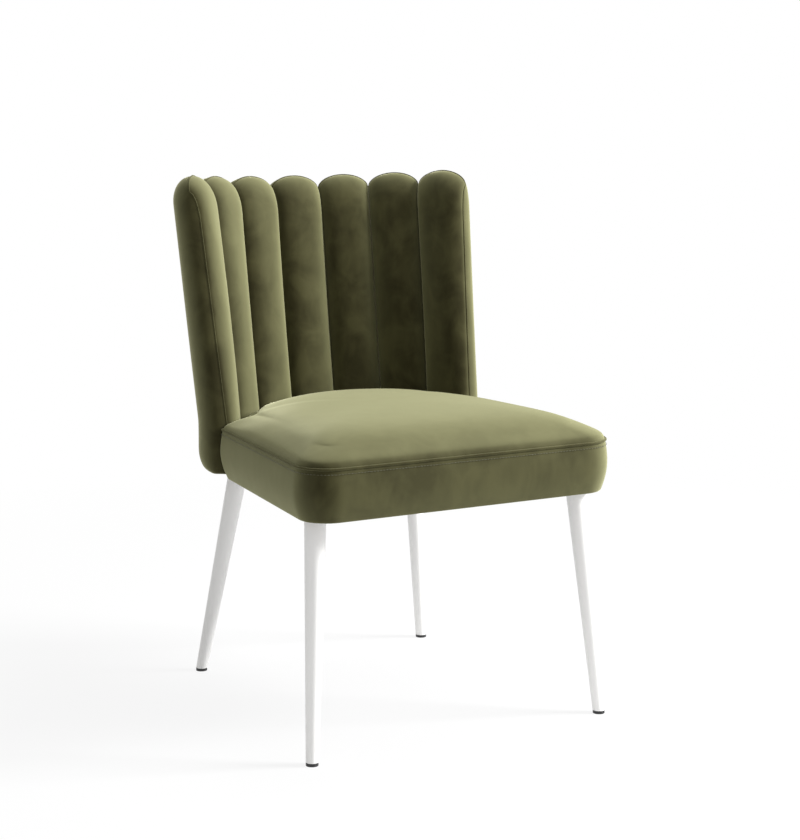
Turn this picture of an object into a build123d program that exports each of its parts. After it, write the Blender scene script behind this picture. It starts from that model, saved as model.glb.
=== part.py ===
from build123d import *
import math
import os

# Upholstered dining chair: padded seat, wrap-around channelled back, four splayed legs.
# Millimetres, +Z up, the chair faces -Y. Left and right are as seen from the front.

# Seat
SEAT_HEIGHT = 488.0          # floor to the top of the crown
SEAT_CROWN = 36.0            # rise of the seat top above its seam
BOXING_HEIGHT = 86.0         # height of the band between seam and hem
BOXING_BULGE = 8.0           # how far the band swells past the seam line
HEM_TUCK = 6.0               # how far the band draws in at its lower edge
SEAT_FRONT_Y = -283.0        # front line of the seat's seam
SEAT_FRONT_WIDTH = 540.0     # width of the seat's seam at the front
SEAT_CORNER_RADIUS = 50.0    # front corners in plan
SEAT_TUCK_RADIUS = 9.0       # corner where the band turns in at the wing
SEAT_TUCK_GAP = 4.0          # space between the band's end and the wing
CROWN_FULLNESS = 2.6         # shape of the crown, 2 is an ellipse

# Back, measured on the inner face of its shell
CHANNELS = 7
BACK_HEIGHT = 840.0          # floor to the crest of the middle lobe
WING_RISE = 9.0              # how much higher the outermost lobes reach
BACK_LOW_RADIUS = 252.0      # plan radius at the seat seam
BACK_LOW_CENTRE_Y = 18.0     # centre of that circle
BACK_LOW_HALF_ANGLE = 68.8   # degrees from the middle to a wing end
BACK_TOP_RADIUS = 291.0      # plan radius at the crest
BACK_TOP_CENTRE_Y = 34.7
BACK_TOP_HALF_ANGLE = 59.5
CHANNEL_DEPTH = 31.0         # padding at the middle of a channel
CHANNEL_EDGE = 8.0           # padding at the seam between two channels
CHANNEL_DOME = 44.0          # height over which a channel rounds off at the top
CHANNEL_FULLNESS = 2.4
OUTER_DEPTH = 42.0           # outer face of the back behind the shell's inner face
OUTER_DOME = 26.0            # depth of the scallops
OUTER_FULLNESS = 4.0
HEM_DRAW = 18.0              # how far the outer back draws in at its lower edge
HEM_ROUND = 36.0             # height over which it does so
WING_TURN = 64.0             # length over which the outer face rounds to the wing front
WING_FORWARD = 4.0           # how far the wing front stands before the end channel
WING_MIDDLE = 14.0           # place of the wing's foremost line, outward
WING_RETURN = 7.0            # how far the outer cover turns in past the shell

# Wood
BOARD_THICKNESS = 18.0
BOARD_ABOVE_HEM = 6.0
SHELL_THICKNESS = 12.0
SHELL_SETBACK = 14.0         # shell end behind the end channel's edge
SHELL_TOP_DROP = 45.0        # shell top below the middle crest
RAIL_WIDTH = 24.0
RAIL_HEIGHT = 42.0

# Legs, set out from the seat's front corners and from the back
FRONT_LEG_INSET = 41.0       # leg axis in from the end of the seat's front seam
FRONT_LEG_SETBACK = 62.0     # leg axis behind the seat's front seam
FRONT_LEG_SPLAY = (26.8, -38.0)
REAR_LEG_ANGLE = 42.2        # degrees round the back from its middle
REAR_LEG_INSET = 6.4         # leg axis in from the shell's inner face
REAR_LEG_SPLAY = (52.1, 59.0)
LEG_TOP_DIAMETER = 33.0
LEG_FOOT_DIAMETER = 19.0
LEG_WALL = 1.5
GLIDE_PAD_HEIGHT = 5.0
GLIDE_PLUG_LENGTH = 16.0
PLATE_THICKNESS = 3.0
PLATE_RIM = 1.5              # plate edge beyond the leg's tube
PLATE_REACH = 46.0           # from the leg's axis in to the centre of the plate's inner end
PLATE_HOLES_NEAR = 28.0      # first pair of holes, in from the leg's axis
PLATE_HOLES_FAR = 52.0       # second pair
PLATE_HOLE_SPREAD = 20.0     # between the holes of a pair

# Small parts
SCREW_DIAMETER = 4.0
SCREW_HEAD_DIAMETER = 8.0
SCREW_HEAD_HEIGHT = 2.4
LEG_SCREW_LENGTH = 15.0
RAIL_SCREW_LENGTH = 40.0
SHELL_SCREW_LENGTH = 26.0
WELT_DIAMETER = 4.0
WING_WELT_DIAMETER = 3.2
COVER_THICKNESS = 2.0
DUST_COVER_THICKNESS = 0.8
DUST_COVER_INSET = 8.0

# Clearances
SOFT_GAP = 0.3               # between curved faces that bear on each other
PAD_GAP = 1.0                # between the seat and the channels
CHANNEL_GAP = 0.6            # between neighbouring channels
SCREW_GAP = 0.1              # round a screw in its hole
CUT = 1.0                    # how far a cutting shape reaches past what it cuts

# Heights and places that follow from these
SEAM_Z = SEAT_HEIGHT - SEAT_CROWN
HEM_Z = SEAM_Z - BOXING_HEIGHT
BOARD_Z = HEM_Z + BOARD_ABOVE_HEM
BOARD_TOP_Z = BOARD_Z + BOARD_THICKNESS
BACK_HEM_Z = BOARD_Z
RAIL_TOP_Z = BOARD_TOP_Z + RAIL_HEIGHT
CHANNEL_FOOT_Z = RAIL_TOP_Z + 2 * PAD_GAP
CHANNEL_SPRING_Z = BACK_HEIGHT - CHANNEL_DOME
OUTER_SPRING_Z = BACK_HEIGHT - OUTER_DOME
SHELL_TOP_Z = BACK_HEIGHT - SHELL_TOP_DROP
PLATE_Z = BOARD_Z - PLATE_THICKNESS
HALF = CHANNELS / 2
CHANNEL_PITCH = BACK_LOW_RADIUS * math.radians(BACK_LOW_HALF_ANGLE) / HALF
MIDDLE_CHANNEL = (CHANNELS - 1) / 2
SEAT_MIDDLE_Y = (SEAT_FRONT_Y + BACK_LOW_CENTRE_Y + BACK_LOW_RADIUS) / 2


def line(start, end):
    return Edge.make_line(start, end)


def arc(start, middle, end):
    return Edge.make_three_point_arc(start, middle, end)


def along(length):
    """A length along the back, counted in channels."""
    return length / CHANNEL_PITCH


def back_point(z, channel, offset):
    """Point on the back. Channel 0 is the middle; offset is outward from the shell's inner face."""
    rise = max(0.0, (z - SEAM_Z) / (BACK_HEIGHT - SEAM_Z))
    low = math.radians(BACK_LOW_HALF_ANGLE) * channel / HALF
    top = math.radians(BACK_TOP_HALF_ANGLE) * channel / HALF
    low_radius = BACK_LOW_RADIUS + offset
    top_radius = BACK_TOP_RADIUS + offset
    low_y = BACK_LOW_CENTRE_Y + low_radius * math.cos(low)
    top_y = BACK_TOP_CENTRE_Y + top_radius * math.cos(top)
    x = low_radius * math.sin(low) * (1 - rise) + top_radius * math.sin(top) * rise
    y = low_y * (1 - rise) + top_y * rise
    return Vector(x, y, z)


def back_run(z, start, end, offset):
    """Level arc along the back from one channel place to another."""
    return arc(*[back_point(z, place, offset) for place in (start, (start + end) / 2, end)])


def back_band(levels, reach, inner, outer):
    """Curved wall of the back between two offsets, through the given levels."""
    wires = []
    for z in levels:
        wires.append(Wire([
            back_run(z, -reach, reach, outer),
            line(back_point(z, reach, outer), back_point(z, reach, inner)),
            back_run(z, reach, -reach, inner),
            line(back_point(z, -reach, inner), back_point(z, -reach, outer)),
        ]))
    return Solid.make_loft(wires, ruled=True)


def round_off(share, fullness):
    """Height of a rounded form at a share of its half width."""
    return max(0.0, 1 - abs(share) ** fullness) ** (1 / fullness)


def lobe_outline(z, channel, width, back, edge, crest, fullness):
    """Level outline of one lobe: flat back, straight sides and a swelling front."""

    def at(share, offset):
        return back_point(z, channel + share * width / 2, offset)

    def face(share):
        return at(share, edge + (crest - edge) * round_off(share, fullness))

    return Wire([
        arc(at(-1, back), at(0, back), at(1, back)),
        line(at(1, back), at(1, edge)),
        arc(at(1, edge), face(0.93), face(0.74)),
        arc(face(0.74), face(0), face(-0.74)),
        arc(face(-0.74), face(-0.93), at(-1, edge)),
        line(at(-1, edge), at(-1, back)),
    ])


def dome_steps():
    """Shares of a dome's height and what is left of its width there."""
    return [(share, round_off(share, 2.2)) for share in (0.3, 0.55, 0.75, 0.89, 0.97, 0.995)]


def crest_z(channel):
    return BACK_HEIGHT + WING_RISE * (channel / MIDDLE_CHANNEL) ** 2


def channel_pad(channel, inset, back, foot):
    """Channel form, drawn in by inset on its face, sides and top."""
    width = 1 - along(CHANNEL_GAP + 2 * inset)
    edge = -(CHANNEL_EDGE - inset / 2)
    crest = -(CHANNEL_DEPTH - inset)
    dome = crest_z(channel) - inset - CHANNEL_SPRING_Z
    wires = []
    for z in (foot, SEAM_Z, CHANNEL_SPRING_Z):
        wires.append(lobe_outline(z, channel, width, back, edge, crest, CHANNEL_FULLNESS))
    for share, left in dome_steps():
        z = CHANNEL_SPRING_Z + share * dome
        root = -SOFT_GAP * (1 - left)
        outline = lobe_outline(
            z, channel, width * left, back, root + edge * left, root + crest * left,
            CHANNEL_FULLNESS)
        wires.append(outline)
    return Solid.make_loft(wires, ruled=True)


def channel_cover(channel):
    pad = channel_pad(channel, 0.0, -SOFT_GAP, CHANNEL_FOOT_Z)
    return pad - channel_pad(channel, COVER_THICKNESS, CUT, CHANNEL_FOOT_Z - CUT)


def channel_foam(channel):
    return channel_pad(channel, COVER_THICKNESS + SOFT_GAP, -SOFT_GAP, CHANNEL_FOOT_Z)


def hem_draw(z):
    """How far the outer back is drawn in near its lower edge."""
    below = max(0.0, BACK_HEM_Z + HEM_ROUND - z) / HEM_ROUND
    return HEM_DRAW * (1 - math.sqrt(1 - min(1.0, below) ** 2))


def outer_outline(z, inset, inner, lip):
    """Level outline of the outer back with its rounded wing fronts, which end in a narrow lip."""
    face = OUTER_DEPTH - inset - hem_draw(z)
    turn = HALF - along(WING_TURN)
    end = HALF + along(CHANNEL_GAP)
    tip = HALF + along(max(CHANNEL_GAP + SOFT_GAP, WING_FORWARD - inset))
    inside = end - along(lip)
    root = -(WING_RETURN - inset)
    bend = math.sqrt(0.5)

    def wing(side):
        def at(place, offset):
            return back_point(z, side * place, offset)

        outside = at(turn, face)
        front = at(tip, WING_MIDDLE)
        back_bend = at(turn + (tip - turn) * bend, WING_MIDDLE + (face - WING_MIDDLE) * bend)
        front_bend = at(end + (tip - end) * bend, WING_MIDDLE + (root - WING_MIDDLE) * bend)
        lip_points = [at(end, root), at(inside, root), at(inside, inner)]
        return [outside, back_bend, front, front_bend] + lip_points

    right = wing(1)
    left = wing(-1)
    edges = [back_run(z, -turn, turn, face)]
    edges += [arc(*right[0:3]), arc(*right[2:5]), line(*right[4:6]), line(*right[5:7])]
    edges.append(back_run(z, inside, -inside, inner))
    edges += [line(*left[6:4:-1]), line(*left[5:3:-1]), arc(*left[4:1:-1]), arc(*left[2::-1])]
    return Wire(edges)


def outer_form(inset, inner, lip, foot):
    """Outer back as a solid form with a scalloped top, drawn in by inset."""
    levels = [foot]
    levels += [BACK_HEM_Z + HEM_ROUND * share for share in (0.08, 0.25, 0.55, 1.0)]
    levels += [SEAM_Z, OUTER_SPRING_Z]
    form = Solid.make_loft([outer_outline(z, inset, inner, lip) for z in levels], ruled=True)
    rim = [OUTER_SPRING_Z - CUT, BACK_HEIGHT + WING_RISE + CUT]
    room = Solid.make_loft(
        [outer_outline(z, inset + SOFT_GAP, inner, lip) for z in rim], ruled=True)
    lobes = []
    for number in range(CHANNELS):
        lobe = outer_lobe(number - MIDDLE_CHANNEL, inset, inner + SOFT_GAP)
        if number in (0, CHANNELS - 1):
            lobe = lobe & room
        lobes.append(lobe)
    return form + lobes


def outer_lobe(channel, inset, inner):
    """Domed top of the outer back above one channel."""
    width = 1 - along(2 * inset + 2 * SOFT_GAP)
    crest = OUTER_DEPTH - inset - SOFT_GAP
    edge = crest / 2
    dome = crest_z(channel) - inset - OUTER_SPRING_Z
    foot = OUTER_SPRING_Z - CUT / 2
    wires = [lobe_outline(foot, channel, width, inner, edge, crest, OUTER_FULLNESS)]
    for share, left in dome_steps():
        root = 2 * SOFT_GAP * (1 - left)
        outline = lobe_outline(
            OUTER_SPRING_Z + share * dome, channel, width * left, inner,
            root + edge * left, root + crest * left, OUTER_FULLNESS)
        wires.append(outline)
    return Solid.make_loft(wires, ruled=True)


def outer_back_cover():
    form = outer_form(0.0, 0.0, SOFT_GAP, BACK_HEM_Z)
    return form - outer_form(COVER_THICKNESS, -CUT, CUT, BACK_HEM_Z - CUT)


def outer_back_foam():
    form = outer_form(COVER_THICKNESS + SOFT_GAP, 0.0, SOFT_GAP, BACK_HEM_Z)
    levels = [BACK_HEM_Z - CUT, SEAM_Z, SHELL_TOP_Z + SOFT_GAP]
    reach = HALF - along(SHELL_SETBACK - SOFT_GAP)
    return form - back_band(levels, reach, -CUT, SHELL_THICKNESS + SOFT_GAP)


def back_shell():
    reach = HALF - along(SHELL_SETBACK)
    levels = [BOARD_TOP_Z, SEAM_Z, SHELL_TOP_Z]
    shell = back_band(levels, reach, 0.0, SHELL_THICKNESS)
    return shell - screw_holes(shell_screw_planes(), SHELL_SCREW_LENGTH)


def back_rail():
    reach = HALF - along(SHELL_SETBACK)
    rail = back_band([BOARD_TOP_Z, RAIL_TOP_Z], reach, -RAIL_WIDTH - SOFT_GAP, -SOFT_GAP)
    holes = screw_holes(shell_screw_planes(), SHELL_SCREW_LENGTH)
    holes += screw_holes(rail_screw_planes(), RAIL_SCREW_LENGTH)
    return rail - holes


def rounded_path(points, radii):
    """Lines through the points, with an arc of the given radius at each inner point."""
    edges = []
    start = points[0]
    for before, corner, after, radius in zip(points, points[1:], points[2:], radii):
        inward = (before - corner).normalized()
        onward = (after - corner).normalized()
        half_angle = math.radians(inward.get_angle(onward)) / 2
        reach = radius / math.tan(half_angle)
        middle_way = (inward + onward).normalized()
        middle = corner + middle_way * (radius / math.sin(half_angle) - radius)
        edges.append(line(start, corner + inward * reach))
        edges.append(arc(corner + inward * reach, middle, corner + onward * reach))
        start = corner + onward * reach
    edges.append(line(start, points[-1]))
    return edges


def seat_corners(z, grow, inset):
    """Right-hand corner points of the seat's plan: at the channels, at the wing, at the front."""
    wing = back_point(SEAM_Z, HALF, -WING_RETURN)
    radius = BACK_LOW_RADIUS - CHANNEL_DEPTH - PAD_GAP - inset
    rear_y = wing.Y - SEAT_TUCK_GAP - inset
    inner_x = math.sqrt(radius ** 2 - (rear_y - BACK_LOW_CENTRE_Y) ** 2)
    return [
        Vector(inner_x, rear_y, z),
        Vector(wing.X + grow - inset, rear_y, z),
        Vector(SEAT_FRONT_WIDTH / 2 + grow - inset, SEAT_FRONT_Y - grow + inset, z),
        Vector(0, BACK_LOW_CENTRE_Y + radius, z),
    ]


def mirrored(point):
    return Vector(-point.X, point.Y, point.Z)


def seat_outline(z, grow, inset, shrink=1.0):
    """Seat plan at a level, drawn in by inset and shrunk about its middle."""
    points = []
    for corner in seat_corners(z, grow, inset):
        y = SEAT_MIDDLE_Y + (corner.Y - SEAT_MIDDLE_Y) * shrink
        points.append(Vector(corner.X * shrink, y, z))
    inner, wing, front, rear = points
    tuck = (SEAT_TUCK_RADIUS - inset) * shrink
    corner_radius = (SEAT_CORNER_RADIUS + grow - inset) * shrink
    path = [inner, wing, front, mirrored(front), mirrored(wing), mirrored(inner)]
    edges = rounded_path(path, [tuck, corner_radius, corner_radius, tuck])
    edges.append(arc(mirrored(inner), rear, inner))
    return Wire(edges)


def boxing_grow(z):
    """How far the boxing stands out of the seam line at a level."""
    share = min(1.0, max(0.0, (z - HEM_Z) / BOXING_HEIGHT))
    return BOXING_BULGE * math.sin(math.pi * share) - HEM_TUCK * (1 - share) ** 3


def seat_band(low, high, inset):
    """Seat body between two levels, swelling with the boxing."""
    steps = 7
    wires = []
    for step in range(steps + 1):
        z = low + (high - low) * step / steps
        wires.append(seat_outline(z, boxing_grow(z), inset))
    return Solid.make_loft(wires, ruled=True)


def seat_crown(foot, inset):
    """Crowned top of the seat above the seam, drawn in by inset."""
    wires = [seat_outline(foot, 0.0, inset)]
    if foot < SEAM_Z:
        wires.append(seat_outline(SEAM_Z, 0.0, inset))
    for shrink in (0.985, 0.95, 0.88, 0.76, 0.58, 0.34, 0.12):
        z = SEAM_Z + (SEAT_CROWN - inset) * round_off(shrink, CROWN_FULLNESS)
        wires.append(seat_outline(z, 0.0, inset, shrink))
    return Solid.make_loft(wires, ruled=True)


def seat_top_cover():
    return seat_crown(SEAM_Z, 0.0) - seat_crown(SEAM_Z - CUT, COVER_THICKNESS)


def seat_foam_topper():
    return seat_crown(SEAM_Z, COVER_THICKNESS + SOFT_GAP)


def seat_boxing():
    inside = seat_band(HEM_Z, SEAM_Z, COVER_THICKNESS)
    below = Solid.extrude(
        Face(seat_outline(HEM_Z, boxing_grow(HEM_Z), COVER_THICKNESS)), (0, 0, -CUT))
    above = Solid.extrude(Face(seat_outline(SEAM_Z, 0.0, COVER_THICKNESS)), (0, 0, CUT))
    band = seat_band(HEM_Z, SEAM_Z, 0.0) - inside - below - above
    room = board_form(HEM_Z - CUT, BOARD_TOP_Z + SOFT_GAP, SOFT_GAP)
    return largest(band - room)


def largest(shape):
    return max(shape.solids(), key=lambda solid: solid.volume)


def seat_foam_core():
    return seat_band(BOARD_TOP_Z, SEAM_Z, COVER_THICKNESS + SOFT_GAP)


def seat_welt():
    radius = WELT_DIAMETER / 2
    corners = seat_corners(SEAM_Z, radius + SOFT_GAP, 0.0)
    front = corners[2]
    wing = corners[1] + (front - corners[1]).normalized() * SEAT_TUCK_RADIUS
    corner_radius = SEAT_CORNER_RADIUS + radius + SOFT_GAP
    path = Wire(rounded_path([wing, front, mirrored(front), mirrored(wing)], [corner_radius] * 2))
    plane = Plane(wing, z_dir=front - wing)
    section = Face(Wire.make_circle(radius, plane))
    return Solid.sweep(section, path)


def board_form(low, high, grow):
    """Base board plan: inside the seat boxing at the front, under the shell behind."""
    inset = COVER_THICKNESS + SOFT_GAP + SOFT_GAP - grow
    wing, front = seat_corners(low, -HEM_TUCK, inset)[1:3]
    wing = wing + (front - wing).normalized() * SEAT_TUCK_RADIUS
    reach = HALF - along(SHELL_SETBACK - grow)
    root = back_point(low, reach, -CUT)
    edge = back_point(low, reach, SHELL_THICKNESS + grow)
    path = [root, wing, front, mirrored(front), mirrored(wing), mirrored(root)]
    corner_radius = SEAT_CORNER_RADIUS - HEM_TUCK - inset
    edges = rounded_path(path, [SEAT_TUCK_RADIUS, corner_radius, corner_radius, SEAT_TUCK_RADIUS])
    edges.append(line(mirrored(root), mirrored(edge)))
    edges.append(back_run(low, -reach, reach, SHELL_THICKNESS + grow))
    edges.append(line(edge, root))
    return Solid.extrude(Face(Wire(edges)), (0, 0, high - low))


def base_board():
    board = board_form(BOARD_Z, BOARD_TOP_Z, 0.0)
    holes = screw_holes(rail_screw_planes(), RAIL_SCREW_LENGTH)
    for leg in legs():
        holes += screw_holes(leg_screw_planes(leg), LEG_SCREW_LENGTH)
    return board - holes


def dust_cover():
    sheet = board_form(BOARD_Z - DUST_COVER_THICKNESS, BOARD_Z, -DUST_COVER_INSET)
    low = BOARD_Z - 2 * PLATE_THICKNESS
    return sheet - [plate_form(leg, CUT, low, 3 * PLATE_THICKNESS) for leg in legs()]


def screw(plane, length):
    """Screw on a plane: the head's underside lies on the plane, the shank runs along its normal."""
    head = Plane(plane.origin - plane.z_dir * SCREW_HEAD_HEIGHT, z_dir=plane.z_dir)
    shank = Solid.make_cylinder(SCREW_DIAMETER / 2, length, plane)
    return Solid.make_cylinder(SCREW_HEAD_DIAMETER / 2, SCREW_HEAD_HEIGHT, head) + shank


def screw_holes(planes, length):
    return [screw_hole(plane, length) for plane in planes]


def screw_hole(plane, length):
    """Room for a screw and its head."""
    head_depth = SCREW_HEAD_HEIGHT + CUT
    head = Plane(plane.origin - plane.z_dir * head_depth, z_dir=plane.z_dir)
    head_radius = SCREW_HEAD_DIAMETER / 2 + SCREW_GAP
    shank = Solid.make_cylinder(SCREW_DIAMETER / 2 + SCREW_GAP, length + SCREW_GAP, plane)
    return Solid.make_cylinder(head_radius, head_depth, head) + shank


def rail_screw_planes():
    """Screws up through the board into the rail, one under each channel, heads sunk flush."""
    planes = []
    for number in range(CHANNELS):
        place = back_point(
            BOARD_Z + SCREW_HEAD_HEIGHT, number - MIDDLE_CHANNEL, -SOFT_GAP - RAIL_WIDTH / 2)
        planes.append(Plane(place, z_dir=(0, 0, 1)))
    return planes


def shell_screw_planes():
    """Screws inward through the shell into the rail, between the channels, heads sunk flush."""
    planes = []
    middle_z = (BOARD_TOP_Z + RAIL_TOP_Z) / 2
    for number in range(CHANNELS - 1):
        channel = number - MIDDLE_CHANNEL + 0.5
        place = back_point(middle_z, channel, SHELL_THICKNESS - SCREW_HEAD_HEIGHT)
        planes.append(Plane(place, z_dir=back_point(middle_z, channel, 0.0) - place))
    return planes


def legs():
    """Leg axes as foot point and top point, front pair first, left before right."""
    turn = math.radians(REAR_LEG_ANGLE)
    ring = BACK_LOW_RADIUS - REAR_LEG_INSET
    front = (SEAT_FRONT_WIDTH / 2 - FRONT_LEG_INSET, SEAT_FRONT_Y + FRONT_LEG_SETBACK)
    rear = (ring * math.sin(turn), BACK_LOW_CENTRE_Y + ring * math.cos(turn))
    axes = []
    for (x, y), (out, back) in ((front, FRONT_LEG_SPLAY), (rear, REAR_LEG_SPLAY)):
        for side in (-1, 1):
            axes.append((Vector(side * (x + out), y + back, 0), Vector(side * x, y, PLATE_Z)))
    return axes


def leg_cone(leg, inset):
    """Tapered round form along a leg's axis, longer than the leg at both ends."""
    foot, top = leg
    axis = (top - foot).normalized()
    length = (top - foot).length
    spare = LEG_TOP_DIAMETER / 2
    taper = (LEG_TOP_DIAMETER - LEG_FOOT_DIAMETER) / 2 / length
    low = LEG_FOOT_DIAMETER / 2 - taper * spare - inset
    high = LEG_TOP_DIAMETER / 2 + taper * spare - inset
    return Solid.make_cone(low, high, length + 2 * spare, Plane(foot - axis * spare, z_dir=axis))


def level_slab(low, high):
    size = 4 * BACK_HEIGHT
    return Solid.make_box(size, size, high - low, Plane((-size / 2, -size / 2, low)))


def leg_tube(leg):
    tube = leg_cone(leg, 0.0) - leg_cone(leg, LEG_WALL)
    return tube & level_slab(GLIDE_PAD_HEIGHT, PLATE_Z)


def glide(leg):
    """Plastic glide: pad on the floor and a plug up inside the tube."""
    foot = leg[0]
    plug = leg_cone(leg, LEG_WALL + SOFT_GAP)
    plug = plug & level_slab(GLIDE_PAD_HEIGHT / 2, GLIDE_PAD_HEIGHT + GLIDE_PLUG_LENGTH)
    centre = foot + (leg[1] - foot) * (GLIDE_PAD_HEIGHT / 2 / PLATE_Z)
    pad = Solid.make_cylinder(LEG_FOOT_DIAMETER / 2, GLIDE_PAD_HEIGHT, Plane((centre.X, centre.Y, 0)))
    return pad + plug


def plate_plane(leg):
    """Plane at a leg's top with x pointing outward along the leg's splay."""
    foot, top = leg
    outward = Vector(foot.X - top.X, foot.Y - top.Y, 0)
    return Plane(top, x_dir=outward, z_dir=(0, 0, 1))


def plate_form(leg, grow, low, height):
    """Tongue with round ends, one under the leg's axis and one toward the seat's middle."""
    width = LEG_TOP_DIAMETER + 2 * PLATE_RIM + 2 * grow
    place = plate_plane(leg) * Pos(-PLATE_REACH / 2, 0, low - PLATE_Z)
    face = place * SlotCenterToCenter(PLATE_REACH, width).face()
    return Solid.extrude(face, (0, 0, height))


def leg_screw_planes(leg):
    """Four screws of a leg plate, heads under the plate."""
    plane = plate_plane(leg)
    planes = []
    for inward in (PLATE_HOLES_NEAR, PLATE_HOLES_FAR):
        for side in (-1, 1):
            place = plane.from_local_coords(Vector(-inward, side * PLATE_HOLE_SPREAD / 2, 0))
            planes.append(Plane(place, z_dir=(0, 0, 1)))
    return planes


def leg_plate(leg):
    plate = plate_form(leg, 0.0, PLATE_Z, PLATE_THICKNESS)
    return plate - screw_holes(leg_screw_planes(leg), LEG_SCREW_LENGTH)


def wing_welts():
    """Cords down the seams where the end channels meet the wing fronts."""
    cords = []
    place = HALF + along(WING_WELT_DIAMETER / 2 + SOFT_GAP)
    offset = -WING_RETURN - WING_WELT_DIAMETER / 2 - 2 * SOFT_GAP
    for side in (-1, 1):
        low = back_point(SEAM_Z + WELT_DIAMETER, side * place, offset)
        top = back_point(CHANNEL_SPRING_Z, side * place, offset)
        cord_plane = Plane(low, z_dir=top - low)
        cords.append(Solid.make_cylinder(WING_WELT_DIAMETER / 2, (top - low).length, cord_plane))
    return Compound(cords)


def build_nodes():
    nodes = {
        "base_board": base_board(),
        "back_rail": back_rail(),
        "back_shell": back_shell(),
        "outer_back_foam": outer_back_foam(),
        "outer_back_cover": outer_back_cover(),
        "wing_welts": wing_welts(),
        "seat_foam_core": seat_foam_core(),
        "seat_foam_topper": seat_foam_topper(),
        "seat_boxing": seat_boxing(),
        "seat_top_cover": seat_top_cover(),
        "seat_welt": seat_welt(),
        "dust_cover": dust_cover(),
    }
    for number in range(CHANNELS):
        channel = number - MIDDLE_CHANNEL
        nodes[f"channel_foam_{number + 1}"] = channel_foam(channel)
        nodes[f"channel_cover_{number + 1}"] = channel_cover(channel)
    names = ["front_left", "front_right", "rear_left", "rear_right"]
    for name, leg in zip(names, legs()):
        nodes[f"{name}_leg"] = leg_tube(leg)
        nodes[f"{name}_leg_plate"] = leg_plate(leg)
        nodes[f"{name}_glide"] = glide(leg)
    leg_screws = [screw(p, LEG_SCREW_LENGTH) for leg in legs() for p in leg_screw_planes(leg)]
    nodes["leg_screws"] = Compound(leg_screws)
    nodes["rail_screws"] = Compound([screw(p, RAIL_SCREW_LENGTH) for p in rail_screw_planes()])
    nodes["shell_screws"] = Compound([screw(p, SHELL_SCREW_LENGTH) for p in shell_screw_planes()])
    return nodes


def main():
    nodes = build_nodes()
    box = Compound([solid for shape in nodes.values() for solid in shape.solids()]).bounding_box()
    centre = Pos(0, -(box.min.Y + box.max.Y) / 2, 0)
    os.makedirs("parts", exist_ok=True)
    for name, shape in nodes.items():
        export_step(centre * shape, f"parts/{name}.step")


main()
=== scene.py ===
"""Channel-back dining chair: soft pieces, seams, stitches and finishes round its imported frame."""

import math

import bmesh
import bpy
from bpy.props import FloatProperty, FloatVectorProperty, PointerProperty
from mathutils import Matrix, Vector, noise


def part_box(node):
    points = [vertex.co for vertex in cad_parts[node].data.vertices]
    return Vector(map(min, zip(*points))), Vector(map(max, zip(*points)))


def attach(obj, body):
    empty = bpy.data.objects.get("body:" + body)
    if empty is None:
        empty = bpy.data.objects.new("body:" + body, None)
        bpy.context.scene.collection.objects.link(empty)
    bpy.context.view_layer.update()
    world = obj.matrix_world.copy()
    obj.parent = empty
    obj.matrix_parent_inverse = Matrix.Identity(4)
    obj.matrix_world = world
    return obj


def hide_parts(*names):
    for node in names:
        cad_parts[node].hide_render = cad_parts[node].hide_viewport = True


bl_info = {
    "name": "Channel-back dining chair",
    "version": (1, 0, 0),
    "blender": (4, 5, 0),
    "location": "View3D > Sidebar > Chair",
    "description": "Upholstery, seams, stitches, finishes and studio for a channel-back dining chair",
    "category": "Object",
}

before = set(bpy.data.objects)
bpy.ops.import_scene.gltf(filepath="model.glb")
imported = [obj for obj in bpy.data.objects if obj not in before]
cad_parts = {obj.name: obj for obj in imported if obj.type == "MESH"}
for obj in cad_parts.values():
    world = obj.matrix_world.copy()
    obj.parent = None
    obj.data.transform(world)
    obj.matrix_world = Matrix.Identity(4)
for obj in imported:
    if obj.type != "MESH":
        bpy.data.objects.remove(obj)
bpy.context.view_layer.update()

# Places taken from the frame
SEAT_TOP_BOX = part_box("seat_top_cover")
BOXING_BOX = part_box("seat_boxing")
BOARD_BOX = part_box("base_board")
SEAM_HEIGHT = SEAT_TOP_BOX[0].z
HEM_HEIGHT = BOXING_BOX[0].z
BOARD_TOP = BOARD_BOX[1].z
SEAT_SEAM = SEAM_HEIGHT - 0.005
BACK_HEM = BOARD_BOX[0].z

# Back, measured on the inner face of its shell
SEAT_FRONT = -0.283
SHIFT = SEAT_TOP_BOX[0].y - SEAT_FRONT
CHANNELS = 7
HALF = CHANNELS / 2
END_CHANNEL = (CHANNELS - 1) / 2
BACK_HEIGHT = 0.840
WING_RISE = 0.009
LOW_RADIUS = 0.252
LOW_CENTRE = 0.018
LOW_ANGLE = math.radians(68.8)
TOP_RADIUS = 0.291
TOP_CENTRE = 0.0347
TOP_ANGLE = math.radians(61.0)
CHANNEL_PITCH = LOW_RADIUS * LOW_ANGLE / HALF
CHANNEL_FOOT = BOARD_TOP + 0.044
OUTER_DEPTH = 0.048
SHELL_OUTSIDE = 0.0124
SHELL_TOP = 0.795
SHELL_SETBACK = 0.0137
WING_TURN = 0.070
WING_FORWARD = 0.0015
WING_MIDDLE = 0.006
WING_RETURN = 0.007
HEM_DRAW = 0.018
HEM_ROUND = 0.036

# Seat plan
SEAT_HALF_FRONT = 0.270
SEAT_CORNER = 0.050
SEAT_TUCK = 0.009
SEAT_TUCK_GAP = 0.001
SEAT_TUCK_OUT = 0.008
SEAT_TUCK_SLOPE = 0.36
SEAT_REAR_RADIUS = 0.220
SEAT_MIDDLE = -0.0065
HEM_TUCK = 0.006
SKIRT = 0.0019

# Camera
CAMERA_PLACE = Vector((-1.4158, -2.6699 + SHIFT, 0.9735))
CAMERA_AIM = Vector((0.0327, SHIFT, 0.4562))
CAMERA_LENS = 81.0


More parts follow.
